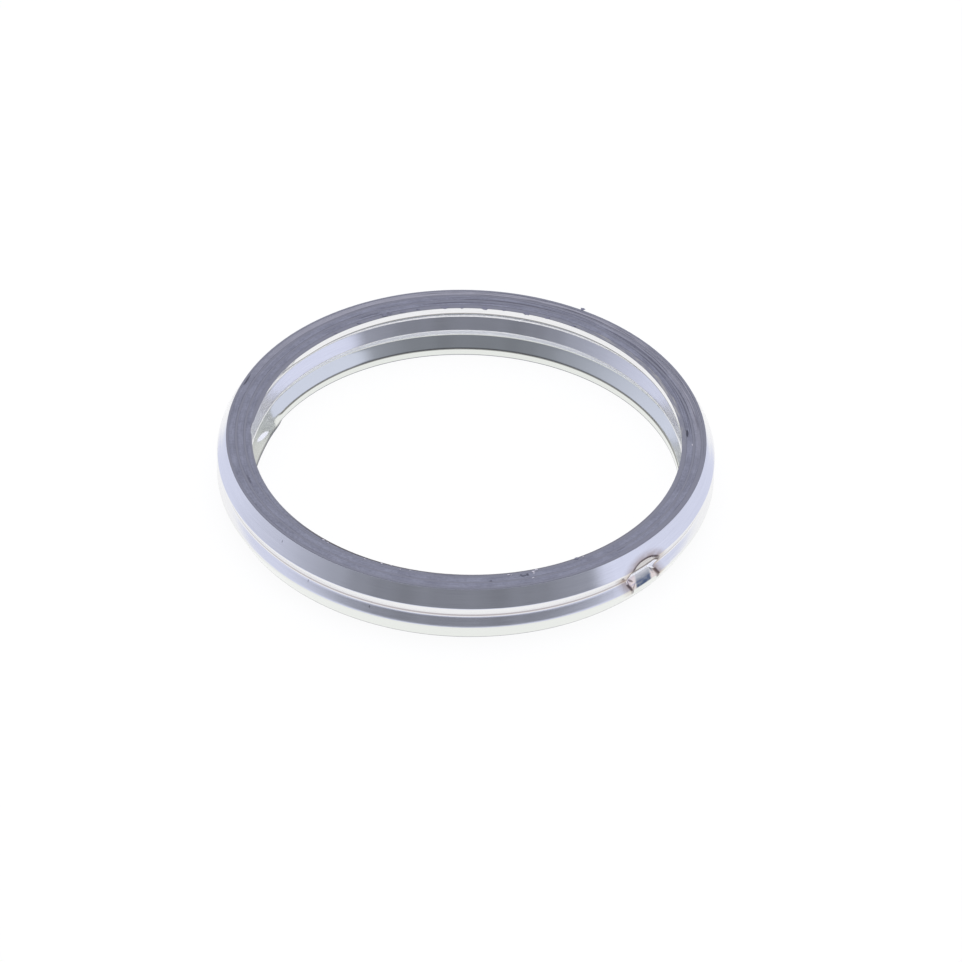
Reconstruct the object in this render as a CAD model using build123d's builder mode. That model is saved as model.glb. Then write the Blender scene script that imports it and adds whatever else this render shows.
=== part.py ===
from build123d import *
from math import acos, cos, degrees, radians, sin
import os

os.makedirs("parts", exist_ok=True)

# A spiral wound exhaust ring gasket: a thin steel strip, pressed to a W across its width, is
# wound with graphite tape between its turns, and its two ends are spot welded.
# Lengths are in millimetres and angles in degrees, anticlockwise seen from above.
# The ring lies flat: the lower sealing face is at height 0 and the axis points up.

# The ring
ring_height = 5.4
bore_radius = 18.75

# The two materials that are wound together, and how often: first the bare strip, then with tape
strip_thickness = 0.2
filler_thickness = 0.55
filler_proud = 0.04
bare_rounds = 2
filler_rounds = 3

# The W that is pressed across the strip: two ridges and a groove between them
ridge_stand = 0.85
ridge_drop = 1.65
groove_depth = 0.4
bend_radius = 0.3

# The innermost wrap, where the edges of the strip stay upright as lips
lip_height = 0.7
bore_groove_depth = 0.55

# Where the winding turns from one half turn to the next, and where strip and tape end
join_angle = 110.0
strip_inner_end = 165.0
strip_outer_end = -50.0
outer_end_stand = 0.05

# The spot weld that holds the outer end: a pan pressed through both ridges
weld_angle = -44.5
weld_drop = 3.05
weld_width = 2.3
weld_height = 2.0
weld_corner = 0.35
weld_depth = 0.75
weld_taper = 38.0

# The spot weld that holds the inner end: a shallow round dimple in the wall of the bore
bore_weld_angle = 158.0
bore_weld_radius = 0.9
bore_weld_depth = 0.12

# What follows from them
pitch = strip_thickness + filler_thickness
middle = ring_height / 2
half_circle = 180.0
spare_angle = 4.0

# Half turns are numbered from the bore outwards. The tape begins in one and ends in the last
tape_half = 2 * round(bare_rounds)
last_half = tape_half + 2 * round(filler_rounds) - 1

# The wall is welded solid where two wraps leave each other, until the gap is half a strip wide
welded_arc = degrees(acos(1 - min(strip_thickness / filler_thickness, 1.0)))

# The end of the strip is pressed into the wrap below it, so the last arc leans inwards
last_arc = join_angle - strip_outer_end
end_gap = filler_thickness * (1 + cos(radians(last_arc))) / 2
pressed_lean = (strip_thickness + end_gap - outer_end_stand) / (1 - cos(radians(last_arc)))


def half_turn_circles():
    """Centre along the join line, and inner radius, of each half turn of the strip."""
    circles = [(0.0, bore_radius)]
    for number in range(1, last_half + 1):
        growth = pitch if tape_half <= number < last_half else strip_thickness
        side = 1 if number % 2 else -1
        centre, radius = circles[-1]
        circles.append((centre - side * growth / 2, radius + growth / 2))
    centre, radius = circles[last_half]
    circles[last_half] = (centre + pressed_lean, radius - pressed_lean)
    return circles


circles = half_turn_circles()


def gap_arc(gap):
    """Angle from the join line at which the last half turn is this far from the one below it."""
    lean = filler_thickness + 2 * pressed_lean
    return degrees(acos((2 * (gap + pressed_lean) - filler_thickness) / lean))


# Between these two angles they are welded, and beyond the second there is tape
touching_arc = gap_arc(0)
closed_arc = gap_arc(strip_thickness / 2)

# The winding is moved so that the middle of its outline is on the ring's axis
join_x = cos(radians(join_angle))
join_y = sin(radians(join_angle))
outer_lean = (circles[last_half][0] + circles[last_half - 1][0]) / 2
outer_growth = (circles[last_half][1] - circles[last_half - 1][1]) / 2
shift_x = -outer_lean * join_x - outer_growth
shift_y = -outer_lean * join_y - outer_growth


def centre_of(number):
    """Where the axis of a half turn stands."""
    lean = circles[number][0]
    return (shift_x + lean * join_x, shift_y + lean * join_y)


def span_of(number):
    """Angle where a half turn begins, going anticlockwise."""
    return join_angle if number % 2 == 0 else join_angle - half_circle


def plain_side(radius, margin):
    """One side of a turn inside the winding: sharp W, from the bottom edge to the top."""
    edge = ridge_stand * margin / ridge_drop
    groove = ridge_stand - groove_depth
    return [
        (radius + edge, margin, 0.0),
        (radius + ridge_stand, ridge_drop, 0.0),
        (radius + groove, middle, 0.0),
        (radius + ridge_stand, ring_height - ridge_drop, 0.0),
        (radius + edge, ring_height - margin, 0.0),
    ]


def rim_side(radius, margin):
    """The side that shows outside: the same W with rounded bends."""
    side = plain_side(radius, margin)
    bends = [(across, height, bend_radius) for across, height, bend in side[1:-1]]
    return [side[0]] + bends + [side[-1]]


def bore_side(radius, margin):
    """The side that shows inside the bore: upright lips and a deeper W."""
    groove = ridge_stand - bore_groove_depth
    return [
        (radius, margin, 0.0),
        (radius, lip_height, 0.0),
        (radius + ridge_stand, ridge_drop, 0.0),
        (radius + groove, middle, 0.0),
        (radius + ridge_stand, ring_height - ridge_drop, 0.0),
        (radius, ring_height - lip_height, 0.0),
        (radius, ring_height - margin, 0.0),
    ]


def wrap(inner, outer, number, start, arc, mode=Mode.ADD):
    """Turn the outline between two sides about the axis of a half turn."""
    x, y = centre_of(number)
    across = radians(start)
    outward = (cos(across), sin(across), 0)
    upright = Plane(origin=(x, y, 0), x_dir=outward, z_dir=(sin(across), -cos(across), 0))
    corners = inner + outer[::-1]
    with BuildSketch(upright) as outline:
        with BuildLine():
            FilletPolyline(
                *[(reach, height) for reach, height, bend in corners],
                radius=[bend for reach, height, bend in corners],
                close=True,
            )
        make_face()
    revolve(outline.sketch, axis=Axis((x, y, 0), (0, 0, 1)), revolution_arc=arc, mode=mode)


def weld_pan(floor, reach, mode=Mode.ADD, growth=0.0):
    """The pressed pan of the outer weld, from its floor outwards."""
    across = radians(weld_angle)
    outward = (cos(across), sin(across), 0)
    seat = Plane(
        origin=(floor * cos(across), floor * sin(across), ring_height - weld_drop),
        x_dir=(-sin(across), cos(across), 0),
        z_dir=outward,
    )
    with BuildSketch(seat) as floor_outline:
        RectangleRounded(weld_width + 2 * growth, weld_height + 2 * growth, weld_corner + growth)
    extrude(floor_outline.sketch, amount=reach - floor, taper=-weld_taper, mode=mode)


rim_edge = circles[last_half][1] + strip_thickness
pan_floor = rim_edge + ridge_stand - weld_depth
pan_mouth = rim_edge + ridge_stand + strip_thickness


# The pressed metal of the outer weld, kept inside the outline of the ring

with BuildPart() as outer_weld:
    weld_pan(pan_floor - strip_thickness, pan_mouth, growth=strip_thickness)
    wrap(
        plain_side(rim_edge - strip_thickness - pitch, filler_proud),
        rim_side(rim_edge, filler_proud),
        last_half,
        strip_outer_end,
        last_arc,
        mode=Mode.INTERSECT,
    )


# The steel strip, wound clockwise from the bore outwards

with BuildPart() as steel_winding:
    # The first wrap faces the bore
    first = circles[0][1]
    wrap(
        bore_side(first, filler_proud),
        bore_side(first + strip_thickness, filler_proud),
        0,
        join_angle,
        strip_inner_end - join_angle,
    )
    for number in range(1, tape_half):
        radius = circles[number][1]
        wrap(
            bore_side(radius, filler_proud),
            plain_side(radius + strip_thickness, filler_proud),
            number,
            span_of(number),
            half_circle,
        )

    # The wraps that have tape on both sides
    for number in range(tape_half, last_half - 2):
        radius = circles[number][1]
        wrap(
            plain_side(radius, filler_proud),
            plain_side(radius + strip_thickness, filler_proud),
            number,
            span_of(number),
            half_circle,
        )

    # The half turn below the end of the strip shows only beyond that end
    below_end = circles[last_half - 2][1]
    uncovered_arc = half_circle - last_arc
    wrap(
        plain_side(below_end, filler_proud),
        rim_side(below_end + strip_thickness, filler_proud),
        last_half - 2,
        span_of(last_half - 2),
        uncovered_arc,
    )
    wrap(
        plain_side(below_end, filler_proud),
        plain_side(below_end + strip_thickness, filler_proud),
        last_half - 2,
        strip_outer_end,
        last_arc,
    )

    # The last two half turns show outside
    showing = circles[last_half - 1][1]
    wrap(
        plain_side(showing, filler_proud),
        rim_side(showing + strip_thickness, filler_proud),
        last_half - 1,
        span_of(last_half - 1),
        half_circle,
    )
    wrap(
        plain_side(rim_edge - strip_thickness, filler_proud),
        rim_side(rim_edge, filler_proud),
        last_half,
        strip_outer_end,
        last_arc,
    )

    # Welded zones where the tape has not begun yet, and where it has ended
    leaving = circles[tape_half - 2][1] + strip_thickness
    wrap(
        plain_side(leaving - strip_thickness / 4, filler_proud),
        plain_side(leaving + strip_thickness * 3 / 4, filler_proud),
        tape_half - 2,
        join_angle + half_circle - welded_arc,
        welded_arc,
    )
    meeting = circles[last_half - 2][1] + strip_thickness
    wrap(
        plain_side(meeting - strip_thickness / 4, filler_proud),
        plain_side(meeting + strip_thickness / 2, filler_proud),
        last_half - 2,
        join_angle - touching_arc - spare_angle,
        touching_arc + spare_angle - closed_arc,
    )

    # Outer weld
    add(outer_weld.part)
    weld_pan(pan_floor, pan_mouth, mode=Mode.SUBTRACT)

    # Inner weld
    inner_x, inner_y = centre_of(0)
    ball_radius = (bore_weld_radius**2 + bore_weld_depth**2) / (2 * bore_weld_depth)
    crest = bore_radius + ridge_stand - bore_groove_depth
    ball_reach = crest + bore_weld_depth - ball_radius
    across = radians(bore_weld_angle)
    with Locations((inner_x + ball_reach * cos(across), inner_y + ball_reach * sin(across), middle)):
        Sphere(ball_radius, mode=Mode.SUBTRACT)


# The graphite tape between the turns

with BuildPart() as graphite_filler:
    # It begins in the gap that opens over the first wrap
    below = circles[tape_half - 2][1] + strip_thickness
    wrap(
        plain_side(below - strip_thickness / 2, 0),
        plain_side(circles[tape_half][1], 0),
        tape_half,
        join_angle,
        half_circle - welded_arc,
    )
    wrap(
        plain_side(below - strip_thickness - filler_thickness, 0),
        plain_side(below, 0),
        tape_half - 2,
        join_angle - spare_angle,
        half_circle + 2 * spare_angle,
        mode=Mode.SUBTRACT,
    )

    # It ends in the gap that closes under the last wrap
    below = circles[last_half - 2][1] + strip_thickness
    wrap(
        plain_side(below - filler_thickness, 0),
        plain_side(circles[last_half][1], 0),
        last_half,
        join_angle - closed_arc,
        closed_arc,
    )
    wrap(
        plain_side(below - strip_thickness - filler_thickness, 0),
        plain_side(below, 0),
        last_half - 2,
        join_angle - closed_arc - spare_angle,
        closed_arc + 2 * spare_angle,
        mode=Mode.SUBTRACT,
    )

    # Between those it fills the gap evenly
    for number in range(tape_half + 1, last_half):
        wrap(
            plain_side(circles[number - 2][1] + strip_thickness, 0),
            plain_side(circles[number][1], 0),
            number,
            span_of(number),
            half_circle,
        )

    # The outer weld is pressed into it
    add(outer_weld.part, mode=Mode.SUBTRACT)


steel_winding.part.label = "steel_winding"
graphite_filler.part.label = "graphite_filler"

export_step(steel_winding.part, "parts/steel_winding.step")
export_step(graphite_filler.part, "parts/graphite_filler.step")
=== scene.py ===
import logging
from dataclasses import dataclass, field
from enum import Enum
from functools import cached_property
from math import acos, atan2, cos, degrees, hypot, radians, sin, sqrt
from typing import Any, Union

import bmesh
import bpy
from mathutils import Matrix, Vector
from mathutils.noise import noise, seed_set


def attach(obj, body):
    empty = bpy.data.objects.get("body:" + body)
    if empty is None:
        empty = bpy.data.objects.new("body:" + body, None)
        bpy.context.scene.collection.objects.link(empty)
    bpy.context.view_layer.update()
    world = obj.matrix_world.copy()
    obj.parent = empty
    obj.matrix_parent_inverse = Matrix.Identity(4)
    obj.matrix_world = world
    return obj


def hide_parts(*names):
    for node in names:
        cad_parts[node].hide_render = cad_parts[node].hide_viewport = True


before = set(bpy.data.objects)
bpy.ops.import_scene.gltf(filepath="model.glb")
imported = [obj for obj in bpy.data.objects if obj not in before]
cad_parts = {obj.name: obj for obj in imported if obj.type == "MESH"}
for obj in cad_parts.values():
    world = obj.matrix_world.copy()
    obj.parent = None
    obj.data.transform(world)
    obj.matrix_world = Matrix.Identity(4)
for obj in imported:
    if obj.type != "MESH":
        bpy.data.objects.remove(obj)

log = logging.getLogger("gasket")

MM = 0.001
SEAM = 0.0005
HALF_TURN = 180.0
FULL_TURN = 360.0
SEED = 7

# Half turns in a round of the winding
ROUND = 2

Pair = tuple[float, float]
Colour = tuple[float, float, float]

# Start, span and step of a sweep round the ring, in degrees
Stretch = tuple[float, float, float]


class Form(Enum):
    """Which form the W has: with upright lips, as in the bore, or plain."""

    LIPPED = "lipped"
    PLAIN = "plain"


# Sizes of the winding

# Corners of a wall's outline, by number
BENDS = (1, 2, 3, 6, 7, 8)
EDGES = (0, 4, 5, 9)


@dataclass
class Profile:
    """The W that is pressed across the strip, in millimetres."""

    height: float = 5.4
    proud: float = 0.02
    ridge_stand: float = 0.85
    ridge_drop: float = 1.65
    groove_depth: float = 0.4
    lip: float = 0.7
    bore_groove: float = 0.7

    @property
    def middle(self) -> float:
        """Half the ring's height."""
        return self.height / 2

    @cached_property
    def outlines(self) -> dict[Form, list[Pair]]:
        """The corners of both forms of the W, up to the sealing faces."""
        return {form: self.corners(form, 0.0) for form in Form}

    def corners(self, form: Form, margin: float) -> list[Pair]:
        """The W's corners from the bottom edge to the top.

        Args:
            form: whether the W has lips.
            margin: how far the edges stay from the sealing faces.

        Returns:
            Pairs of reach beyond the edge and height.
        """
        edge = self.ridge_stand * margin / self.ridge_drop
        groove = self.ridge_stand - self.groove_depth
        low = [(edge, margin), (self.ridge_stand, self.ridge_drop)]
        if form is Form.LIPPED:
            groove = self.ridge_stand - self.bore_groove
            low = [(0.0, margin), (0.0, self.lip), (self.ridge_stand, self.ridge_drop)]
        high = [(reach, self.height - height) for reach, height in reversed(low)]
        return low + [(groove, self.middle)] + high

    def wall(self, inner: float, outer: float, margin: float) -> list[Pair]:
        """The outline of a wall, up its inner side and down its outer side.

        Args:
            inner: its inner radius at the edges.
            outer: its outer radius at the edges.
            margin: how far its edges stay from the sealing faces.

        Returns:
            Pairs of radius and height, numbered as BENDS and EDGES say.
        """
        side = self.corners(Form.PLAIN, margin)
        outside = [(outer + reach, height) for reach, height in reversed(side)]
        return [(inner + reach, height) for reach, height in side] + outside

    def reach(self, form: Form, height: float) -> float:
        """How far the sharp W stands out at a height."""
        points = self.outlines[form]
        for (reach, low), (next_reach, high) in zip(points, points[1:]):
            if height <= high:
                share = (height - low) / (high - low)
                return reach + share * (next_reach - reach)
        return points[-1][0]


@dataclass
class Winding:
    """The spiral, made of half turns whose centres alternate on the join line."""

    profile: Profile = field(default_factory=Profile)
    bore_radius: float = 18.75
    strip: float = 0.2
    tape: float = 0.55
    bare_rounds: int = 2
    tape_rounds: int = 3
    join_angle: float = 110.0
    outer_end: float = -50.0
    end_stand: float = 0.006
    end_lap: float = 0.1
    welded_share: float = 0.1

    @property
    def first_tape(self) -> int:
        """Number of the half turn in which the tape begins."""
        return ROUND * self.bare_rounds

    @property
    def outer(self) -> int:
        """Number of the last half turn."""
        return self.first_tape + ROUND * self.tape_rounds - 1

    @property
    def welded_arc(self) -> float:
        """Angle after which the opening gap is wider than the welded share of a strip."""
        return degrees(acos(1 - 2 * self.welded_share * self.strip / self.tape))

    @cached_property
    def pressed(self) -> float:
        """How far the last arc leans inwards, so that the strip's end is nearly flush."""
        turn = cos(radians(self.join_angle - self.outer_end))
        return (self.strip - self.end_stand + self.tape * (1 + turn) / 2) / (1 - turn)

    @property
    def closed_arc(self) -> float:
        """Angle from the join line at which the gap under the last wrap has closed."""
        return degrees(acos((2 * self.pressed - self.tape) / (self.tape + 2 * self.pressed)))

    @cached_property
    def circles(self) -> list[Pair]:
        """Lean of the centre along the join line, and inner radius, of each half turn."""
        circles = [(0.0, self.bore_radius)]
        for number in range(1, self.outer + 1):
            spaced = self.first_tape <= number < self.outer
            growth = self.strip + self.tape if spaced else self.strip
            side = 1 if number % 2 else -1
            lean, radius = circles[-1]
            circles.append((lean - side * growth / 2, radius + growth / 2))
        lean, radius = circles[self.outer]
        circles[self.outer] = (lean + self.pressed, radius - self.pressed)
        return circles

    def centre(self, number: int) -> Vector:
        """Where the axis of a half turn stands, in millimetres."""
        join = Vector((cos(radians(self.join_angle)), sin(radians(self.join_angle)), 0))
        last, before = self.circles[self.outer], self.circles[self.outer - 1]
        growth = (last[1] - before[1]) / 2
        lean = self.circles[number][0] - (last[0] + before[0]) / 2
        return lean * join - Vector((growth, growth, 0))

    def radius(self, number: int) -> float:
        """Inner radius of a half turn at the edge of the strip."""
        return self.circles[number][1]

    def start(self, number: int) -> float:
        """Angle from which a half turn goes clockwise."""
        return self.join_angle + (HALF_TURN if number % 2 == 0 else 0.0)


@dataclass(frozen=True)
class Arc:
    """A stretch of the ring that fades in and out, in degrees, which may go on past 180."""

    rise: Pair
    fall: Pair


# Mesh helpers


def finish_mesh(work: bmesh.types.BMesh, name: str, smooth_below: float = 35.0) -> bpy.types.Object:
    """Turns a millimetre bmesh into an object at the origin, in metres.

    Args:
        work: the mesh, which is freed.
        name: the object's name.
        smooth_below: edges that bend by less, in degrees, are shaded smooth.

    Returns:
        The new object.
    """
    bmesh.ops.recalc_face_normals(work, faces=work.faces)
    bmesh.ops.scale(work, vec=(MM, MM, MM), verts=work.verts)
    for face in work.faces:
        face.smooth = True
    for edge in work.edges:
        edge.smooth = len(edge.link_faces) == 2 and edge.calc_face_angle(0) < radians(smooth_below)
    mesh = bpy.data.meshes.new(name)
    work.to_mesh(mesh)
    work.free()
    piece = bpy.data.objects.new(name, mesh)
    bpy.context.scene.collection.objects.link(piece)
    return piece


def dress(piece: bpy.types.Object, material: bpy.types.Material) -> None:
    """Gives a piece its only material."""
    piece.data.materials.clear()
    piece.data.materials.append(material)


def soft_step(low: float, high: float, value: float) -> float:
    """Rises smoothly from 0 at low to 1 at high."""
    share = min(max((value - low) / (high - low), 0.0), 1.0)
    return share * share * (3 - 2 * share)


def from_axis(vert: bmesh.types.BMVert, centre: Vector) -> Vector:
    """The level way from an upright axis out to a vertex."""
    return Vector((vert.co.x - centre.x, vert.co.y - centre.y, 0))


def bearing(offset: Vector) -> float:
    """The angle of a level way, in degrees from -180 to 180."""
    return degrees(atan2(offset.y, offset.x))


def spin(work: bmesh.types.BMesh, centre: Vector, angle: float, steps: int) -> None:
    """Turns all that a mesh holds about an upright axis, which leaves a wall.

    Args:
        work: the mesh, which holds an outline.
        centre: where the axis stands.
        angle: how far it turns anticlockwise, in degrees.
        steps: the number of steps.
    """
    bmesh.ops.spin(work, geom=[*work.verts, *work.edges], cent=centre, axis=(0, 0, 1), dvec=(0, 0, 0),
                   angle=radians(angle), steps=steps, use_merge=False, use_normal_flip=False,
                   use_duplicate=False)


@dataclass
class Sweep:
    """A wall's outline that is turned clockwise about the axis of one half turn."""

    corners: list[Pair]
    rounded: tuple[int, ...]
    rounding: float
    start: float
    span: float
    step: float
    row: float = 0.16
    bend_rows: int = 4

    def build(self, centre: Vector) -> bmesh.types.BMesh:
        """Turns the outline.

        Args:
            centre: where the axis stands.

        Returns:
            An open tube, in millimetres.
        """
        outward = Vector((cos(radians(self.start)), sin(radians(self.start)), 0))
        work = bmesh.new()
        verts = []
        for radius, height in self.corners:
            verts.append(work.verts.new(centre + outward * radius + Vector((0, 0, height))))
        for last, vert in zip(verts[-1:] + verts, verts):
            work.edges.new((last, vert))
        for number in self.rounded:
            bmesh.ops.bevel(work, geom=[verts[number]], offset=self.rounding, offset_type="OFFSET",
                            affect="VERTICES", segments=self.bend_rows, profile=0.5, material=-1,
                            clamp_overlap=True)
        for edge in [edge for edge in work.edges if edge.calc_length() > self.row]:
            bmesh.ops.subdivide_edges(work, edges=[edge], cuts=int(edge.calc_length() / self.row))
        spin(work, centre, -self.span, max(1, round(self.span / self.step)))
        return work


def join_sweeps(parts: list[bmesh.types.BMesh]) -> bmesh.types.BMesh:
    """Joins open tubes end to end and closes the two ends.

    Args:
        parts: the tubes, which are freed.

    Returns:
        One closed mesh.
    """
    whole = bmesh.new()
    for part in parts:
        carrier = bpy.data.meshes.new("carrier")
        part.to_mesh(carrier)
        part.free()
        whole.from_mesh(carrier)
        bpy.data.meshes.remove(carrier)
    bmesh.ops.remove_doubles(whole, verts=whole.verts, dist=SEAM)
    bmesh.ops.holes_fill(whole, edges=[edge for edge in whole.edges if edge.is_boundary])
    return whole


# The outer weld


@dataclass
class Weld:
    """The dent that the outer spot weld leaves in the wall."""

    winding: Winding
    angle: float = -43.7

    # Heights of its edges and folds
    top: float = 4.15
    brow: float = 3.05
    deep: float = 2.4
    foot: float = 1.05
    bottom: float = 0.45

    # How far the wall stands out at the folds
    brow_reach: float = 0.4
    deep_reach: float = 0.06
    foot_reach: float = 0.42

    # Its width, and how its lower part is pushed aside
    half_width: float = 1.65
    arch_width: float = 1.85
    side_slope: float = 0.4
    slip: float = 0.32
    slant: float = 0.56

    # How far round the ring it is modelled, and how the wraps give way
    window: float = 9.0
    squeeze: float = 0.15
    tuck: float = 0.008

    def dent_reach(self, height: float) -> float:
        """How far the pressed wall stands out at a height, in the middle of the dent."""
        profile = self.winding.profile
        stops = [
            (self.bottom, profile.reach(Form.PLAIN, self.bottom)),
            (self.foot, self.foot_reach),
            (self.deep, self.deep_reach),
            (self.brow, self.brow_reach),
            (self.top, profile.reach(Form.PLAIN, self.top)),
        ]
        for (low, reach), (high, next_reach) in zip(stops, stops[1:]):
            if low <= height <= high:
                return reach + (next_reach - reach) * (height - low) / (high - low)
        return profile.reach(Form.PLAIN, height)

    def depth(self, across: float, height: float) -> float:
        """How deep the wall is pressed, in millimetres.

        Args:
            across: distance from the dent's middle round the ring.
            height: height above the lower sealing face.

        Returns:
            The depth.
        """
        plain = self.winding.profile.reach(Form.PLAIN, height)
        full = max(0.0, plain - self.dent_reach(height))
        rise = min(max(height - self.brow, 0.0) / (self.top - self.brow), 1.0)
        raised = soft_step(self.deep, self.brow, height)
        opening = (self.half_width + (self.arch_width - self.half_width) * raised) * sqrt(1 - rise * rise)
        shift = (1 - raised) * (self.slant * (self.deep - height) - self.slip)
        return full * (1 - soft_step(-self.side_slope, 0.0, abs(across - shift) - opening))

    def stretches(self, first: float, last: float, step: float, fine_step: float) -> list[Stretch]:
        """Splits a half turn so that it has fine steps at the dent.

        Args:
            first: the angle where the half turn starts.
            last: the angle where it ends, clockwise.
            step: the step away from the dent.
            fine_step: the step at the dent.

        Returns:
            The stretches.
        """
        near = self.angle + self.window
        far = max(self.angle - self.window, last)
        stops = [(first, near, step), (near, far, fine_step), (far, last, step)]
        return [(start, start - end, size) for start, end, size in stops if start - end > SEAM]

    def press(self, work: bmesh.types.BMesh, number: int, cover: float, skin: float) -> None:
        """Presses a turn in under the last wrap and into the dent.

        Args:
            work: the turn's mesh.
            number: its half turn.
            cover: how much steel lies on it.
            skin: its own outer radius at the strip's edge.
        """
        winding = self.winding
        outer_centre = winding.centre(winding.outer)
        own_centre = winding.centre(number)
        rim = winding.radius(winding.outer) + winding.strip
        for vert in work.verts:
            offset = from_axis(vert, outer_centre)
            angle = bearing(offset)
            covered = winding.outer_end <= angle <= winding.join_angle
            if not covered and abs(angle - self.angle) > self.window:
                continue
            reach = winding.profile.reach(Form.PLAIN, vert.co.z)
            own = hypot(vert.co.x - own_centre.x, vert.co.y - own_centre.y) - reach
            inwards = skin - own
            under = cover + min(inwards, winding.strip) + self.squeeze * max(inwards - winding.strip, 0.0)
            if angle < winding.outer_end:
                under -= min(cover, winding.strip)
            across = radians(angle - self.angle) * (rim + reach)
            limit = rim + reach - self.depth(across, vert.co.z) - under
            if offset.length > limit:
                vert.co += offset.normalized() * (limit - offset.length)
            if number == winding.outer and angle < winding.outer_end + winding.end_lap:
                vert.co.z -= (vert.co.z - winding.profile.middle) * self.tuck


# The steel strip


@dataclass
class InnerEnd:
    """The strip's inner end, which is pressed flat into the wall of the bore."""

    # The strip's end
    flat_from: float = 165.0
    head: float = 179.0
    thinnest: float = 0.1

    # The lips beside it, which the weld presses away
    lip_from: float = 152.5
    lip_to: float = 200.0
    blend: float = 3.0
    upper_blend: float = 14.0
    return_blend: float = 14.0
    # Where painted shade darkens the pressed wall near the strip's end
    shaded_end_from: float = 156.0
    shaded_end_to: float = 178.0
    spread: float = 0.22

    # The highlight painted on the weld
    glint_angle: float = 164.5
    glint_height: float = 0.7
    glint_length: float = 1.15
    glint_width: float = 0.2
    glint_rise: float = 0.2

    # The dent in the upper lip
    notch_angle: float = 178.5
    notch_width: float = 4.0
    notch_depth: float = 0.18

    @property
    def lip_arc(self) -> Arc:
        """Where the lower lip is pressed away."""
        fade = (self.lip_to - self.return_blend, self.lip_to)
        return Arc((self.lip_from, self.lip_from + self.blend), fade)

    @property
    def shaded_end_arc(self) -> Arc:
        """Where painted shade darkens the pressed wall."""
        return Arc((self.shaded_end_from, self.shaded_end_to), (self.shaded_end_to, self.lip_to))

    def flatten(self, work: bmesh.types.BMesh, winding: Winding) -> None:
        """Presses the end of the first wrap thin.

        Args:
            work: the first stretch of the strip.
            winding: the winding that it lies in.
        """
        centre = winding.centre(0)
        for vert in work.verts:
            offset = from_axis(vert, centre)
            angle = bearing(offset) % FULL_TURN
            behind = winding.radius(0) + winding.strip + winding.profile.reach(Form.PLAIN, vert.co.z)
            share = soft_step(self.flat_from, self.head, angle) * (1 - self.thinnest)
            vert.co += offset.normalized() * (behind - offset.length) * share

    def pressed_lip(self, angle: float, height: float, profile: Profile) -> Pair:
        """How the lips are pressed away by the inner weld.

        Args:
            angle: angle round the ring, in degrees.
            height: height above the lower sealing face.
            profile: the pressed strip.

        Returns:
            How much of the lip is gone, from 0 to 1, and how far the wall leans into the bore.
        """
        fall = 1 - soft_step(self.lip_to - self.return_blend, self.lip_to, angle)
        if height > profile.height - profile.ridge_drop:
            return fall * soft_step(self.lip_from - self.upper_blend, self.lip_from, angle), 0.0
        if height > profile.ridge_drop:
            return 0.0, 0.0
        share = fall * soft_step(self.lip_from, self.lip_from + self.blend, angle)
        return share, share * self.spread * (1 - height / profile.ridge_drop)

    def notch(self, angle: float, height: float, profile: Profile) -> float:
        """How far the upper lip is bent outwards just past the strip's end."""
        near = 1 - soft_step(0.0, self.notch_width, abs(angle - self.notch_angle))
        return self.notch_depth * near * soft_step(profile.height - profile.lip, profile.height, height)


@dataclass
class SteelStrip:
    """The wound strip with its ends, weld and dents."""

    winding: Winding
    weld: Weld
    inner_end: InnerEnd = field(default_factory=InnerEnd)
    step: float = 2.25
    fine_step: float = 0.2
    fine_row: float = 0.08
    bend: float = 0.09

    def build(self) -> bpy.types.Object:
        """Winds the strip and presses its weld.

        Returns:
            The strip as one object.
        """
        winding = self.winding
        profile = winding.profile
        parts = []
        for number in range(winding.outer + 1):
            skin = winding.radius(number) + winding.strip
            corners = profile.wall(winding.radius(number), skin, profile.proud)
            for start, span, step in self.spans(number):
                part = Sweep(corners, BENDS, self.bend, start, span, step).build(winding.centre(number))
                if step == self.fine_step:
                    self.refine(part)
                if number == winding.outer:
                    self.weld.press(part, number, 0.0, skin)
                elif number == winding.outer - ROUND:
                    self.weld.press(part, number, winding.strip, skin)
                elif number == 0:
                    self.inner_end.flatten(part, winding)
                parts.append(part)
        whole = join_sweeps(parts)
        self.shape_bore(whole)
        return finish_mesh(whole, "steel_strip")

    def spans(self, number: int) -> list[Stretch]:
        """The stretches of a half turn, clockwise."""
        winding = self.winding
        first = self.inner_end.head if number == 0 else winding.start(number)
        last = winding.start(number) - HALF_TURN
        if number == winding.outer:
            last = winding.outer_end - winding.end_lap
        if number in (winding.outer, winding.outer - ROUND):
            return self.weld.stretches(first, last, self.step, self.fine_step)
        return [(first, first - last, self.step)]

    def refine(self, work: bmesh.types.BMesh) -> None:
        """Halves the rows of a stretch, so that a dent has sharp edges."""
        long_edges = []
        for edge in work.edges:
            rise = abs(edge.verts[0].co.z - edge.verts[1].co.z)
            if edge.calc_length() > self.fine_row and rise > SEAM:
                long_edges.append(edge)
        bmesh.ops.subdivide_edges(work, edges=long_edges, cuts=1, use_grid_fill=True)

    def shape_bore(self, work: bmesh.types.BMesh) -> None:
        """Gives the first wraps the upright lips and the deeper W of the bore."""
        winding = self.winding
        profile = winding.profile
        centre = winding.centre(0)
        wrap = winding.radius(ROUND)
        for vert in work.verts:
            offset = from_axis(vert, centre)
            plain = profile.reach(Form.PLAIN, vert.co.z)
            share = 1 - soft_step(wrap, wrap + winding.strip, offset.length - plain)
            if share > 0:
                angle = bearing(offset) % FULL_TURN
                change = profile.reach(Form.LIPPED, vert.co.z) - plain
                gone, lean = self.inner_end.pressed_lip(angle, vert.co.z, profile)
                change = change * (1 - gone) - lean
                change += self.inner_end.notch(angle, vert.co.z, profile)
                vert.co += offset.normalized() * change * share


# The graphite tape


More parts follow.
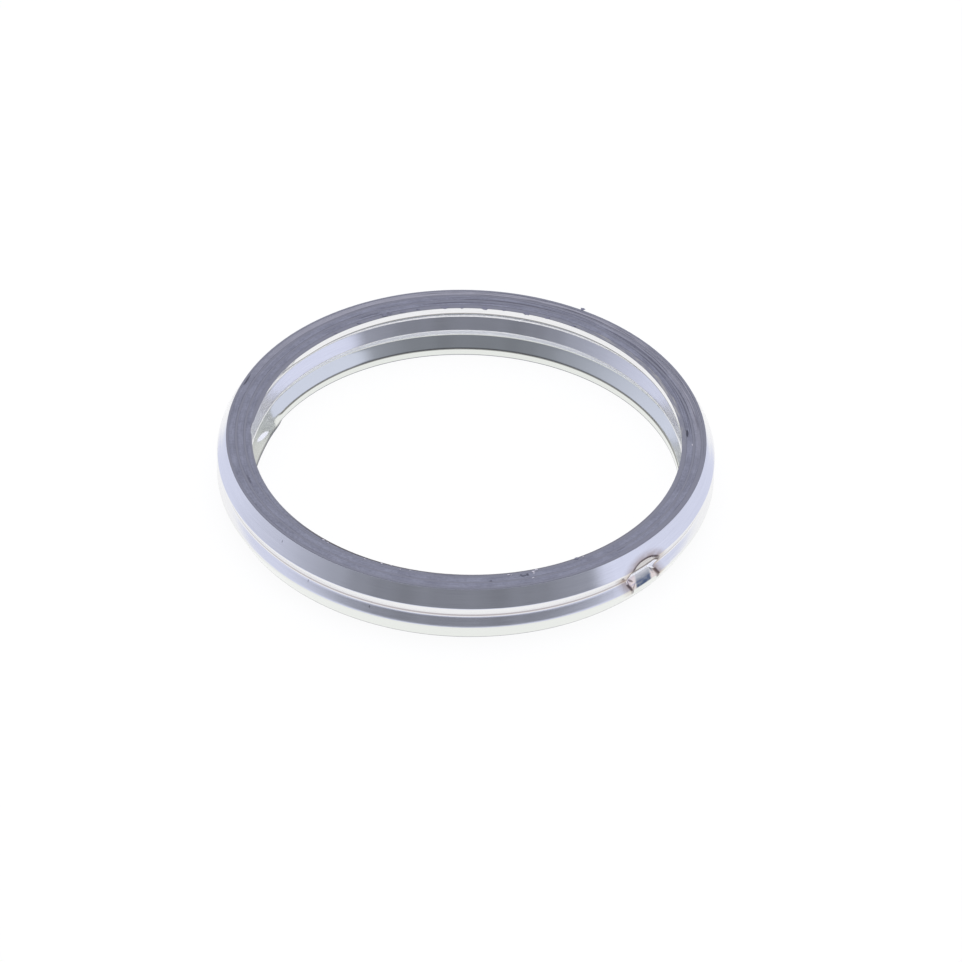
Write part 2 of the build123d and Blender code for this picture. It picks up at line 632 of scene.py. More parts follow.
@dataclass
class GraphiteTape:
    """The tape between the turns, which stands a little proud of the steel."""

    winding: Winding
    weld: Weld
    step: float = 1.8
    fine_step: float = 0.3
    edge: float = 0.05
    smooth_below: float = 50.0

    def build(self) -> bpy.types.Object:
        """Winds the tape from the gap that opens to the gap that closes.

        Returns:
            The tape as one object.
        """
        winding = self.winding
        parts = []
        for number in range(winding.first_tape, winding.outer + 1):
            skin = winding.radius(number)
            corners = winding.profile.wall(skin - winding.tape, skin, 0.0)
            for start, span, step in self.spans(number):
                part = Sweep(corners, EDGES, self.edge, start, span, step).build(winding.centre(number))
                if number in (winding.first_tape, winding.outer):
                    self.clear_strip(part, number - ROUND)
                if number == winding.outer - ROUND:
                    self.weld.press(part, number, 2 * winding.strip, skin)
                parts.append(part)
        return finish_mesh(join_sweeps(parts), "graphite_tape", self.smooth_below)

    def spans(self, number: int) -> list[Stretch]:
        """The stretches of a half turn, clockwise."""
        winding = self.winding
        opened = winding.welded_arc if number == winding.first_tape else 0.0
        start = winding.start(number) - opened
        span = winding.closed_arc if number == winding.outer else HALF_TURN - opened
        if number == winding.outer - ROUND:
            return self.weld.stretches(start, start - span, self.step, self.fine_step)
        return [(start, span, self.step)]

    def clear_strip(self, work: bmesh.types.BMesh, number: int) -> None:
        """Pushes the tape out of the strip's half turn below it.

        Args:
            work: a stretch of the tape.
            number: the half turn of the strip.
        """
        winding = self.winding
        centre = winding.centre(number)
        skin = winding.radius(number) + winding.strip
        for vert in work.verts:
            offset = from_axis(vert, centre)
            least = skin + winding.profile.reach(Form.PLAIN, vert.co.z)
            if offset.length < least:
                vert.co += offset.normalized() * (least - offset.length)


# Loose crumbs of graphite


@dataclass
class Crumbs:
    """Loose crumbs that lie where the photograph shows them."""

    name: str
    places: tuple[tuple[float, float, float], ...]
    height: float
    stretch: float = 0.5
    thickness: float = 0.04
    lumps: float = 9.0
    lumpiness: float = 0.6
    smooth_below: float = 60.0

    def build(self) -> bpy.types.Object:
        """Scatters the crumbs.

        Returns:
            The crumbs as one object.
        """
        work = bmesh.new()
        for angle, radius, size in self.places:
            turn = radians(angle)
            place = Vector((radius * cos(turn), radius * sin(turn), self.height))
            shape = Matrix.Diagonal((size * self.stretch, size, self.thickness, 1))
            matrix = Matrix.Translation(place) @ Matrix.Rotation(turn, 4, "Z") @ shape
            made = bmesh.ops.create_icosphere(work, subdivisions=3, radius=1.0, matrix=matrix)
            for vert in made["verts"]:
                away = vert.co - place
                vert.co += away * noise(vert.co * self.lumps) * self.lumpiness
        return finish_mesh(work, self.name, self.smooth_below)


# Angle, radius and size of each crumb
PALE_CRUMBS = (
    (-128.9, 19.25, 0.12), (-127.4, 19.3, 0.09), (-115.8, 19.4, 0.09), (-111.2, 19.3, 0.12),
    (-108.7, 19.25, 0.08), (-106.0, 19.5, 0.07), (-103.5, 19.35, 0.08), (-78.3, 19.5, 0.12),
    (-77.6, 19.6, 0.07), (-71.8, 19.55, 0.2), (-70.9, 19.35, 0.14), (-72.6, 20.35, 0.11),
    (-71.9, 19.75, 0.1), (-57.6, 19.4, 0.09), (-1.5, 19.9, 0.1),
)
DARK_CRUMBS = (
    (61.5, 21.25, 0.24), (114.0, 18.72, 0.3), (112.4, 18.74, 0.18), (108.8, 18.62, 0.24),
    (104.5, 18.66, 0.16), (97.0, 18.56, 0.3), (92.0, 18.52, 0.22), (86.0, 18.5, 0.3),
    (80.5, 18.52, 0.18), (74.0, 18.56, 0.3), (68.0, 18.62, 0.24), (60.0, 18.7, 0.18),
    (122.0, 18.66, 0.18), (130.0, 18.63, 0.14), (-59.5, 19.32, 0.2),
)
PALE_CRUMB: Colour = (0.5, 0.48, 0.5)
DARK_CRUMB: Colour = (0.14, 0.14, 0.18)


# Shader nodes


Value = Union["Shade", float, int]


class Shade:
    """A node's output socket that takes part in sums."""

    def __init__(self, nodes: "Nodes", socket: bpy.types.NodeSocket) -> None:
        self.nodes = nodes
        self.socket = socket

    def __add__(self, other: Value) -> "Shade":
        """Adds."""
        return self.nodes.math("ADD", self, other)

    def __radd__(self, other: Value) -> "Shade":
        """Adds, from the right."""
        return self.nodes.math("ADD", other, self)

    def __sub__(self, other: Value) -> "Shade":
        """Subtracts."""
        return self.nodes.math("SUBTRACT", self, other)

    def __rsub__(self, other: Value) -> "Shade":
        """Subtracts this from a value."""
        return self.nodes.math("SUBTRACT", other, self)

    def __mul__(self, other: Value) -> "Shade":
        """Multiplies."""
        return self.nodes.math("MULTIPLY", self, other)

    def __rmul__(self, other: Value) -> "Shade":
        """Multiplies, from the right."""
        return self.nodes.math("MULTIPLY", other, self)

    def __truediv__(self, other: Value) -> "Shade":
        """Divides."""
        return self.nodes.math("DIVIDE", self, other)

    def __abs__(self) -> "Shade":
        """Size without sign."""
        return self.nodes.math("ABSOLUTE", self)

    def ramp(self, low: float, high: float) -> "Shade":
        """Rises smoothly from 0 at low to 1 at high."""
        settings = {"interpolation_type": "SMOOTHSTEP", "clamp": True}
        inputs = {"Value": self, "From Min": low, "From Max": high}
        return self.nodes.add("ShaderNodeMapRange", settings, inputs)

    def near(self, middle: float, full: float, none: float) -> "Shade":
        """Falls smoothly from 1 within a distance of the middle to 0 beyond a greater one."""
        return 1 - abs(self - middle).ramp(full, none)


@dataclass(frozen=True)
class Grain:
    """A noise pattern: how it is drawn out along three directions, and how fine it is."""

    stretch: tuple[float, float, float]
    scale: float
    detail: float = 2.0
    roughness: float = 0.5


class Nodes:
    """The node tree of one material."""

    def __init__(self, name: str) -> None:
        self.material = bpy.data.materials.new(name)
        self.material.use_nodes = True
        self.tree = self.material.node_tree
        self.tree.nodes.clear()

    def add(self, kind: str, settings: dict[str, Any] | None = None, inputs: dict[Any, Any] | None = None,
            output: Union[str, int] = 0) -> Shade | None:
        """Adds a node.

        Args:
            kind: the node's type.
            settings: its properties, set before its sockets.
            inputs: values or links of its sockets, by name or number.
            output: which output is returned.

        Returns:
            The output, if the node has one.
        """
        node = self.tree.nodes.new(kind)
        for name, value in (settings or {}).items():
            setattr(node, name, value)
        for key, value in (inputs or {}).items():
            if isinstance(value, Shade):
                self.tree.links.new(value.socket, node.inputs[key])
            else:
                node.inputs[key].default_value = value
        return Shade(self, node.outputs[output]) if node.outputs else None

    def math(self, operation: str, *values: Value) -> Shade:
        """Adds a Math node.

        Args:
            operation: its operation.
            values: its inputs, in order.

        Returns:
            Its output.
        """
        return self.add("ShaderNodeMath", {"operation": operation}, dict(enumerate(values)))

    def mix(self, factor: Value, first: Any, second: Any) -> Shade:
        """Mixes two colours by a factor."""
        colours = [value if isinstance(value, Shade) else (*value, 1) for value in (first, second)]
        settings = {"data_type": "RGBA", "clamp_factor": True}
        return self.add("ShaderNodeMix", settings, {0: factor, 6: colours[0], 7: colours[1]}, 2)

    def noise(self, grain: Grain, *place: Value) -> Shade:
        """Adds smooth noise.

        Args:
            grain: its pattern.
            place: the three numbers that it is read at.

        Returns:
            The noise, from 0 to 1.
        """
        drawn = [part if factor == 1 else part * factor for part, factor in zip(place, grain.stretch)]
        where = self.add("ShaderNodeCombineXYZ", inputs=dict(enumerate(drawn)))
        return self.add("ShaderNodeTexNoise", {"noise_dimensions": "3D"}, {
            "Vector": where, "Scale": grain.scale, "Detail": grain.detail, "Roughness": grain.roughness,
        })

    def spot(self, along: Shade, across: Shade, half_length: float, half_width: float,
             fade: Pair = (0.4, 1.3)) -> Shade:
        """A soft oval, 1 inside it and 0 outside.

        Args:
            along: distance from its middle along it.
            across: distance from its middle across it.
            half_length: half its length.
            half_width: half its width.
            fade: where it fades, as squares of its half sizes.

        Returns:
            How much a place is inside.
        """
        long, wide = along / half_length, across / half_width
        return 1 - (long * long + wide * wide).ramp(*fade)

    def bump(self, height: Shade) -> Shade:
        """A bump from a height in millimetres."""
        return self.add("ShaderNodeBump", inputs={"Strength": 1.0, "Distance": MM, "Height": height})

    def surface(self, inputs: dict[str, Any]) -> bpy.types.Material:
        """Ends the tree in a Principled surface.

        Args:
            inputs: the shader's sockets.

        Returns:
            The material.
        """
        shader = self.add("ShaderNodeBsdfPrincipled", inputs=inputs)
        self.add("ShaderNodeOutputMaterial", inputs={0: shader})
        return self.material


class Place:
    """Where the shaded point is, in millimetres from the ring's axis and its lower face."""

    def __init__(self, nodes: Nodes) -> None:
        here = nodes.add("ShaderNodeTexCoord", output="Object")
        grown = nodes.add("ShaderNodeVectorMath", {"operation": "SCALE"}, {0: here, "Scale": 1 / MM})
        parts = nodes.add("ShaderNodeSeparateXYZ", inputs={0: grown})
        self.nodes = nodes
        self.x, self.y, self.z = (Shade(nodes, part) for part in parts.socket.node.outputs)

    @cached_property
    def around(self) -> Shade:
        """Distance from the ring's axis."""
        return self.nodes.math("SQRT", self.x * self.x + self.y * self.y)

    @cached_property
    def angle(self) -> Shade:
        """Angle round the ring, in radians, which jumps at its left."""
        return self.nodes.math("ARCTAN2", self.y, self.x)

    @cached_property
    def left_angle(self) -> Shade:
        """Angle from the ring's left, in radians, which jumps at its right."""
        return self.nodes.math("ARCTAN2", self.y * -1.0, self.x * -1.0)

    def on(self, arc: Arc) -> Shade:
        """1 on an arc of the ring and 0 off it."""
        past_left = arc.fall[1] > HALF_TURN
        angle = self.left_angle if past_left else self.angle
        zero = HALF_TURN if past_left else 0.0
        rise, full, fade, end = (radians(limit - zero) for limit in (*arc.rise, *arc.fall))
        return angle.ramp(rise, full) * (1 - angle.ramp(fade, end))


# Materials


@dataclass(frozen=True)
class ShadedCrease:
    """A short crease in the weld's dent, darkened with painted shade: its middle, half its length, and its
    slope.
    """

    across: float
    height: float
    length: float
    slope: float


@dataclass(frozen=True)
class WeldTintAndLight:
    """The colours round the outer weld's dent: the brown heat halo with its burnt patches, pink sides and a
    dark blue floor, painted shade on the upper slope, along the brow, in the creases and round the edge,
    and the place of a painted white highlight on the facet under the brow.
    """

    # Painted shade: the dark line round the dent's edge, along the brow and in the creases
    shade_line: Colour = (0.1, 0.07, 0.07)
    halo: Colour = (0.42, 0.31, 0.24)
    floor: Colour = (0.07, 0.1, 0.19)
    side: Colour = (0.72, 0.62, 0.64)
    # Painted shade on the dent's upper slope, above the brow
    brow_shade: Colour = (0.62, 0.6, 0.6)

    # Patches in the heat marks
    scorch: Grain = Grain((1.0, 1.0, 2.0), 1.6)
    scorch_tones: Pair = (0.25, 0.6)
    scorch_share: float = 0.2

    # The brown heat halo, and the dark line round the dent's edge, which is painted shade deepened where
    # the steel is burnt
    halo_scorch: float = 0.3
    halo_strength: float = 0.45
    halo_from: Pair = (-0.1, 0.05)
    halo_width: float = 1.3
    line_strength: float = 0.75
    line_width: float = 0.13
    gap_below: float = 0.06
    gap_above: float = 0.15

    # The facets inside the dent: pink sides and a dark blue floor, painted shade on the upper slope, along
    # the brow and in the creases, and a painted highlight on the facet under the brow
    fold_blend: Pair = (-0.04, 0.02)
    facet_highlight_blend: float = 0.06
    side_strength: float = 0.8
    floor_strength: float = 0.8
    floor_middle: float = 0.32
    floor_full: float = 0.76
    floor_half: float = 1.0925
    floor_fade: float = 0.75
    floor_fade_from: float = 0.2
    floor_fade_to: float = 0.3
    brow_shade_blend: float = 0.1
    brow_shade_line: float = 0.17
    brow_shade_strength: float = 0.8
    shaded_creases: tuple[ShadedCrease, ...] = (ShadedCrease(-1.2, 2.1, 0.3, -0.7), ShadedCrease(-0.95, 1.3, 0.22, 1.5))
    crease_shade_strength: float = 0.7

    def outline(self, nodes: Nodes, weld: Weld, place: Place) -> tuple[Shade, Shade]:
        """Finds the dent's outline, which is the one that the mesh is pressed to.

        Args:
            nodes: the material's node tree.
            weld: the dent.
            place: where the shaded point is.

        Returns:
            Distance from the dent's middle round the ring, and distance outside its edge.
        """
        winding = weld.winding
        centre = winding.centre(winding.outer)
        rim = winding.radius(winding.outer) + winding.profile.ridge_stand
        angle = nodes.math("ARCTAN2", place.y - centre.y, place.x - centre.x)
        across = (angle - radians(weld.angle)) * rim
        raised = place.z.ramp(weld.deep, weld.brow)
        shift = (1 - raised) * ((weld.deep - place.z) * weld.slant - weld.slip)
        width = raised * (weld.arch_width - weld.half_width) + weld.half_width
        side = abs(across - shift) / width
        rise = nodes.math("MAXIMUM", place.z - weld.brow, 0.0) / (weld.top - weld.brow)
        return across, (nodes.math("SQRT", side * side + rise * rise) - 1) * width

    def outermost(self, winding: Winding, place: Place) -> Shade:
        """1 on the last wrap of the strip, which alone is tinted."""
        centre = winding.centre(winding.outer)
        inner = hypot(centre.x, centre.y) + winding.radius(winding.outer) - winding.strip
        outer = inner + winding.strip
        return (place.x * place.x + place.y * place.y).ramp(inner * inner, outer * outer)

    def below(self, height: Shade, fold: float) -> Shade:
        """1 below a fold of the dent and 0 above it."""
        return 1 - height.ramp(fold + self.fold_blend[0], fold + self.fold_blend[1])

    def apply(self, nodes: Nodes, base: Shade, weld: Weld, place: Place) -> tuple[Shade, Shade]:
        """Lays the heat tints, the painted shade and a painted highlight over a colour.

        Args:
            nodes: the material's node tree.
            base: the steel's colour.
            weld: the dent.
            place: where the shaded point is.

        Returns:
            The colour, and 1 on the facet under the brow, where a white highlight is painted.
        """
        z = place.z
        across, edge = self.outline(nodes, weld, place)
        shown = self.outermost(weld.winding, place)
        scorch = nodes.noise(self.scorch, place.x, place.y, z).ramp(*self.scorch_tones)
        above = z.ramp(weld.bottom, weld.foot) * shown
        inside = (1 - edge.ramp(-self.line_width, 0.0)) * shown

        halo = (1 - edge.ramp(0.0, self.halo_width)) * edge.ramp(*self.halo_from) * above
        tinted = nodes.mix(halo * (scorch * self.halo_scorch + self.halo_strength), base, self.halo)
        # Painted shade on the upper slope of the dent, above the brow
        tinted = nodes.mix(inside * z.ramp(weld.brow, weld.brow + self.brow_shade_blend), tinted, self.brow_shade)

        lower = z.ramp(weld.foot, weld.foot + self.line_width) * self.below(z, weld.deep)
        blob = across.near(self.floor_middle, self.floor_full, self.floor_half) * inside
        tinted = nodes.mix(inside * lower * (1 - blob) * self.side_strength, tinted, self.side)
        pale = z.ramp(weld.foot + self.floor_fade_from, weld.deep + self.floor_fade_to) * self.floor_fade
        burnt = scorch * self.scorch_share + self.floor_strength
        tinted = nodes.mix(blob * lower * (1 - pale) * burnt, tinted, self.floor)

        # A line of painted shade just above the brow's fold
        brow = z.near(weld.brow + self.brow_shade_line, self.brow_shade_line / 3, self.brow_shade_line) * inside
        tinted = nodes.mix(brow * self.brow_shade_strength, tinted, self.shade_line)
        # Painted shade in the dent's creases
        shaded_creases: Value = 0.0
        for crease in self.shaded_creases:
            along = across - crease.across
            off = z - crease.height - along * crease.slope
            shaded_creases = nodes.math("MAXIMUM", nodes.spot(along, off, crease.length, self.line_width), shaded_creases)
        tinted = nodes.mix(shaded_creases * inside * self.crease_shade_strength, tinted, self.shade_line)

        # The dark line round the dent's edge is painted shade, deepened where the steel is burnt, with a
        # break where the facet takes the painted highlight
        gap = z.ramp(weld.deep - self.gap_below, weld.deep - self.gap_below / 2)
        gap *= 1 - z.ramp(weld.brow - self.gap_above, weld.brow)
        shade_line = edge.near(0.0, self.line_width / 2, self.line_width * 2) * above * (1 - gap)
        tinted = nodes.mix(shade_line * (scorch * self.scorch_share + self.line_strength), tinted, self.shade_line)
        # The facet under the brow, where a white highlight is painted
        facet_highlight = inside * z.ramp(weld.deep, weld.deep + self.facet_highlight_blend) * self.below(z, weld.brow)
        return tinted, facet_highlight


@dataclass(frozen=True)
class RolledSteel:
    """Bright rolled strip with fine rolling lines and graphite rubbed on its edges, with painted shade at
    its foot, in its groove and in its folds, and matt white painted in the bore as a reflection and a
    highlight.
    """

    bright: Colour = (0.9, 0.9, 0.91)
    dull: Colour = (0.84, 0.84, 0.86)
    # Painted shade at the foot of the walls, below the lower ridge
    low: Colour = (0.8, 0.82, 0.79)
    # Painted shade in the outer wall's groove
    groove_shade: Colour = (0.5, 0.46, 0.48)
    # Dark grey: painted shade along the bore's folds and on its pressed end; it also darkens the pressed
    # lip's bottom edge
    fold: Colour = (0.25, 0.25, 0.24)
    # Matt white, painted as the floor's reflection in the bore and as highlights
    painted_shine: Colour = (1.0, 1.0, 0.99)
    # Painted white highlight on the facet under the weld's brow
    facet_highlight: Colour = (1.0, 1.0, 0.98)
    speck: Colour = (0.3, 0.3, 0.33)
    rubbed: Colour = (0.168, 0.169, 0.197)
    bare_edge: Colour = (0.3, 0.29, 0.27)
    inner_hem: Colour = (0.06, 0.05, 0.045)
    # The weld's heat tints, its painted shade and its painted highlight
    weld_tint_and_light: WeldTintAndLight = WeldTintAndLight()

    # The walls: rolling lines, painted shade at the foot, in the groove and in the folds, painted shine in
    # the bore, and specks
    lines: Grain = Grain((4.0, 3.0, 12.0), 2.0, 3.0, 0.6)
    line_tones: Pair = (0.3, 0.7)
    low_shade_blend: Pair = (-0.05, 0.15)
    bore_limit: Pair = (19.8, 20.0)
    groove_shade_lift: float = 0.15
    groove_shade_full: float = 0.05
    groove_shade_width: float = 0.2
    fold_shade_width: float = 0.12
    fold_shade_strength: float = 0.95
    shine_from: Pair = (0.05, 0.2)
    shine_to: float = 0.1
    shine_strength: float = 0.8
    hem_top: Pair = (0.1, 0.25)
    hem_strength: float = 0.8
    shaded_end_top: Pair = (1.4, 1.9)
    shaded_end_strength: float = 0.45
    specks: tuple[Pair, ...] = ((-137.0, 4.8), (-128.0, 2.5), (-111.5, 2.35))
    speck_height: float = 0.112
    speck_width: float = 0.07
    speck_strength: float = 0.6

    # The edges in the sealing faces
    edge_band: Pair = (0.1, 0.05)
    wear: Grain = Grain((3.0, 6.0, 1.0), 1.5, 3.0, 0.6)
    wear_tones: Pair = (0.45, 0.65)
    bare_arc: Arc = Arc((-5.0, 10.0), (40.0, 75.0))
    bare_limit: Pair = (19.3, 19.7)
    hem_arc: Arc = Arc((-150.0, -125.0), (-60.0, -20.0))
    hem_limit: Pair = (19.2, 19.36)
    hem_wear: float = 0.6
    hem_least: float = 0.5

    # The surface
    roughness: float = 0.14
    line_roughness: float = 0.05
    line_height: float = 0.002
    edge_roughness: float = 0.45
    edge_dullness: float = 0.8
    shine_roughness: float = 0.2
    shine_dullness: float = 0.9
    brim_from: float = 4.5
    brim_slope: float = 0.03
    brim_waver: float = 0.02
    waver: Grain = Grain((2.0, 1.0, 1.0), 2.0, 1.0)

    def make(self, strip: SteelStrip) -> bpy.types.Material:
        """Builds the material.

        Args:
            strip: the strip, for its sizes and the place of its weld.

        Returns:
            The material.
        """
        nodes = Nodes("rolled_steel")
        place = Place(nodes)
        middle = strip.winding.profile.middle
        lines = nodes.noise(self.lines, place.around, place.angle, place.z)
        in_bore = 1 - place.around.ramp(*self.bore_limit)
        colour = self.rolled(nodes, strip.winding.profile, place, lines, in_bore)
        colour, painted_shine = self.bore(nodes, strip, place, colour, in_bore)
        for angle, height in self.specks:
            across = (place.angle - radians(angle)) * place.around
            spot = nodes.spot(place.z - height, across, self.speck_height, self.speck_width)
            colour = nodes.mix(spot * self.speck_strength, colour, self.speck)
        # The weld's heat tints and painted shade, and where a white highlight is painted on its facet
        colour, facet_highlight = self.weld_tint_and_light.apply(nodes, colour, strip.weld, place)
        colour = nodes.mix(facet_highlight, colour, self.facet_highlight)
        painted_shine = nodes.math("MAXIMUM", painted_shine, facet_highlight)
        edge = abs(place.z - middle).ramp(middle - self.edge_band[0], middle - self.edge_band[1])
        slope = nodes.noise(self.waver, place.angle, 0.0, 0.0) * self.brim_waver + self.brim_slope
        brim = nodes.math("MAXIMUM", place.z - self.brim_from, 0.0) * slope
        roughness = self.roughness + (lines - 0.5) * self.line_roughness
        return nodes.surface({
            "Base Color": nodes.mix(edge, colour, self.edge(nodes, place)),
            "Metallic": 1 - edge * self.edge_dullness - painted_shine * self.shine_dullness,
            "Roughness": roughness + edge * self.edge_roughness + painted_shine * self.shine_roughness,
            "Normal": nodes.bump(brim + lines * self.line_height),
        })

    def rolled(self, nodes: Nodes, profile: Profile, place: Place, lines: Shade, in_bore: Shade) -> Shade:
        """Colours both walls.

        Args:
            nodes: the material's node tree.
            profile: the pressed strip.
            place: where the shaded point is.
            lines: the rolling lines.
            in_bore: 1 on the wall of the bore.

        Returns:
            The colour, with painted shade at the foot and in the outer wall's groove.
        """
        even = nodes.mix(lines.ramp(*self.line_tones), self.dull, self.bright)
        # Painted shade darkens the foot, below the lower ridge
        foot = [profile.ridge_drop + blend for blend in self.low_shade_blend]
        shaded = nodes.mix(place.z.ramp(*foot), self.low, even)
        # Painted shade in the outer wall's groove
        groove_shade = place.z.near(profile.middle + self.groove_shade_lift, self.groove_shade_full, self.groove_shade_width)
        return nodes.mix(groove_shade * (1 - in_bore) * self.fold_shade_strength, shaded, self.groove_shade)

    def bore(self, nodes: Nodes, strip: SteelStrip, place: Place, base: Shade,
             in_bore: Shade) -> tuple[Shade, Shade]:
        """Adds what only the wall of the bore has.

        Args:
            nodes: the material's node tree.
            strip: the strip, for its sizes.
            place: where the shaded point is.
            base: the colour so far.
            in_bore: 1 on the wall of the bore.

        Returns:
            The colour, and up to 1 where matt white is painted: the floor's reflection between the lower
            ridge and the middle, and the weld's highlight.
        """
        z = place.z
        end = strip.inner_end
        profile = strip.winding.profile
        pressed = place.on(end.lip_arc) * in_bore
        # Painted shade along the bends of the bore's lips
        bend = profile.middle - profile.lip
        fold_shade = abs(z - profile.middle).near(bend, self.fold_shade_width / 3, self.fold_shade_width)
        colour = nodes.mix(fold_shade * (in_bore - pressed) * self.fold_shade_strength, base, self.fold)

        # Painted reflection: the bore's wall that overhangs between the lower ridge and the middle is made
        # matt white, as it mirrors the white floor
        under = [profile.ridge_drop + blend for blend in self.shine_from]
        under = z.ramp(*under) * (1 - z.ramp(profile.middle - self.shine_to, profile.middle))
        # A painted highlight on the inner weld, in matt white
        across = (place.angle - radians(end.glint_angle)) * strip.winding.bore_radius
        rise = z - end.glint_height - across * end.glint_rise
        glint = nodes.spot(across, rise, end.glint_length, end.glint_width)
        painted_shine = nodes.math("MAXIMUM", under * self.shine_strength, glint) * in_bore
        colour = nodes.mix(painted_shine, colour, self.painted_shine)

        hem = pressed * (1 - z.ramp(*self.hem_top))
        colour = nodes.mix(hem * self.hem_strength, colour, self.fold)
        # Painted shade on the pressed wall near the strip's end, kept off the painted shine
        shaded_end = place.on(end.shaded_end_arc) * in_bore * (1 - z.ramp(*self.shaded_end_top)) * (1 - painted_shine)
        return nodes.mix(shaded_end * self.shaded_end_strength, colour, self.fold), painted_shine

    def edge(self, nodes: Nodes, place: Place) -> Shade:
        """Colours the strip's edges in the sealing faces, where graphite is rubbed in.

        Args:
            nodes: the material's node tree.
            place: where the shaded point is.

        Returns:
            The colour, barer at the right and dark along the bore in front.
        """
        worn = nodes.noise(self.wear, place.around, place.angle, place.z)
        bare = worn.ramp(*self.wear_tones) * place.on(self.bare_arc)
        bare *= 1 - place.around.ramp(*self.bare_limit)
        rubbed = nodes.mix(bare, self.rubbed, self.bare_edge)
        hem = place.on(self.hem_arc) * (1 - place.around.ramp(*self.hem_limit))
        return nodes.mix(hem * (worn * self.hem_wear + self.hem_least), rubbed, self.inner_hem)


@dataclass(frozen=True)
class Mark:
    """A nick or pit in the sealing face: angle, radius, and half its length and width."""

    angle: float
    radius: float
    length: float
    width: float
    strength: float = 1.0


MARKS = (
    Mark(3.2, 19.5, 0.55, 0.09), Mark(2.0, 18.95, 0.3, 0.12, 0.8), Mark(-3.5, 19.25, 0.4, 0.07, 0.6),
    Mark(160.0, 20.88, 0.8, 0.1, 0.8), Mark(-83.0, 20.2, 0.13, 0.12, 0.9),
    Mark(-75.2, 19.55, 0.1, 0.35, 0.7), Mark(-73.6, 19.75, 0.1, 0.28, 0.8),
    Mark(-74.6, 19.9, 0.25, 0.08, 0.7), Mark(-160.0, 20.1, 0.7, 0.09, 0.5),
    Mark(-166.0, 20.3, 0.6, 0.08, 0.5), Mark(78.0, 19.5, 0.8, 0.08, 0.6),
    Mark(118.0, 19.2, 1.2, 0.1, 0.5), Mark(-59.0, 19.1, 0.3, 0.12, 0.6),
    Mark(-48.0, 20.4, 0.5, 0.07, 0.4),
)


@dataclass(frozen=True)
class RubbedGraphite:
    """Pressed graphite, dull and faintly purple, with rub marks round the ring and a faintly purple sheen
    painted on its far side.
    """

    dark: Colour = (0.118, 0.12, 0.15)
    pale: Colour = (0.205, 0.209, 0.25)
    streak: Colour = (0.065, 0.065, 0.085)
    rim: Colour = (0.12, 0.115, 0.11)
    # A paler colour painted on the far side's outer half as a sheen
    sheen: Colour = (0.31, 0.298, 0.315)
    nick: Colour = (0.03, 0.03, 0.045)

    # Rub marks, fine lines, grain and mottle
    streaks: Grain = Grain((3.0, 3.5, 1.0), 2.2, 4.0, 0.65)
    lines: Grain = Grain((6.5, 2.0, 1.0), 1.4, 3.0, 0.6)
    grain: Grain = Grain((1.0, 1.0, 1.0), 4.5, 3.0, 0.6)
    mottle: Grain = Grain((1.0, 1.0, 1.0), 0.6, 3.0, 0.55)
    streak_share: float = 0.35
    grain_share: float = 0.35
    mottle_share: float = 0.3
    tones: Pair = (0.32, 0.66)

    # Where the face has a painted sheen, lines and a darker rim
    sheen_arc: Arc = Arc((-20.0, 20.0), (125.0, 172.0))
    sheen_from: Pair = (19.9, 20.5)
    sheen_strength: float = 0.55
    line_arc: Arc = Arc((-20.0, 20.0), (98.0, 138.0))
    line_tones: Pair = (0.5, 0.64)
    line_strength: float = 0.75
    line_least: float = 0.12
    rim_strength: float = 0.5

    # The surface and its nicks
    metallic: float = 0.2
    roughness: float = 0.5
    grain_roughness: float = 0.25
    streak_height: float = 0.03
    grain_height: float = 0.02
    nick_depth: float = 0.08
    waver: Grain = Grain((40.0, 3.0, 1.0), 1.0)
    waver_share: float = 0.9
    marks: tuple[Mark, ...] = MARKS

    def make(self, winding: Winding) -> bpy.types.Material:
        """Builds the material.

        Args:
            winding: the winding that the graphite fills.

        Returns:
            The material.
        """
        nodes = Nodes("rubbed_graphite")
        place = Place(nodes)
        streaks = nodes.noise(self.streaks, place.around, place.angle, place.z)
        lines = nodes.noise(self.lines, place.around, place.angle, place.z)
        grain = nodes.noise(self.grain, place.x, place.y, place.z)
        mottle = nodes.noise(self.mottle, place.x, place.y, place.z)
        tone = streaks * self.streak_share + grain * self.grain_share + mottle * self.mottle_share
        colour = nodes.mix(tone.ramp(*self.tones), self.dark, self.pale)
        # A painted sheen: the outer half of the far side is painted paler, as a grazing reflection
        sheen = place.on(self.sheen_arc) * place.around.ramp(*self.sheen_from)
        colour = nodes.mix(sheen * self.sheen_strength, colour, self.sheen)
        lined = place.on(self.line_arc) * self.line_strength + self.line_least
        colour = nodes.mix(lines.ramp(*self.line_tones) * lined, colour, self.streak)
        inner = winding.radius(winding.outer)
        brim = place.around.ramp(inner + winding.tape / 4, inner + winding.tape)
        colour = nodes.mix(brim * self.rim_strength, colour, self.rim)
        nicks = self.nicks(nodes, place)
        height = streaks * self.streak_height + (grain - lines) * self.grain_height
        return nodes.surface({
            "Base Color": nodes.mix(nicks, colour, self.nick),
            "Metallic": self.metallic,
            "Roughness": self.roughness + (grain - 0.5) * self.grain_roughness,
            "Normal": nodes.bump(height - nicks * self.nick_depth),
        })

    def nicks(self, nodes: Nodes, place: Place) -> Shade:
        """Marks the nicks and pits.

        Args:
            nodes: the material's node tree.
            place: where the shaded point is.

        Returns:
            0 on the plain face and up to 1 in a nick.
        """
        waver = (nodes.noise(self.waver, place.angle, place.around, 0.0) - 0.5) * self.waver_share
        found: Value = 0.0
        for mark in self.marks:
            along = (place.angle - radians(mark.angle)) * mark.radius
            across = place.around - mark.radius + waver * mark.width
            spot = nodes.spot(along, across, mark.length, mark.width)
            found = nodes.math("MAXIMUM", spot * mark.strength, found)
        return found


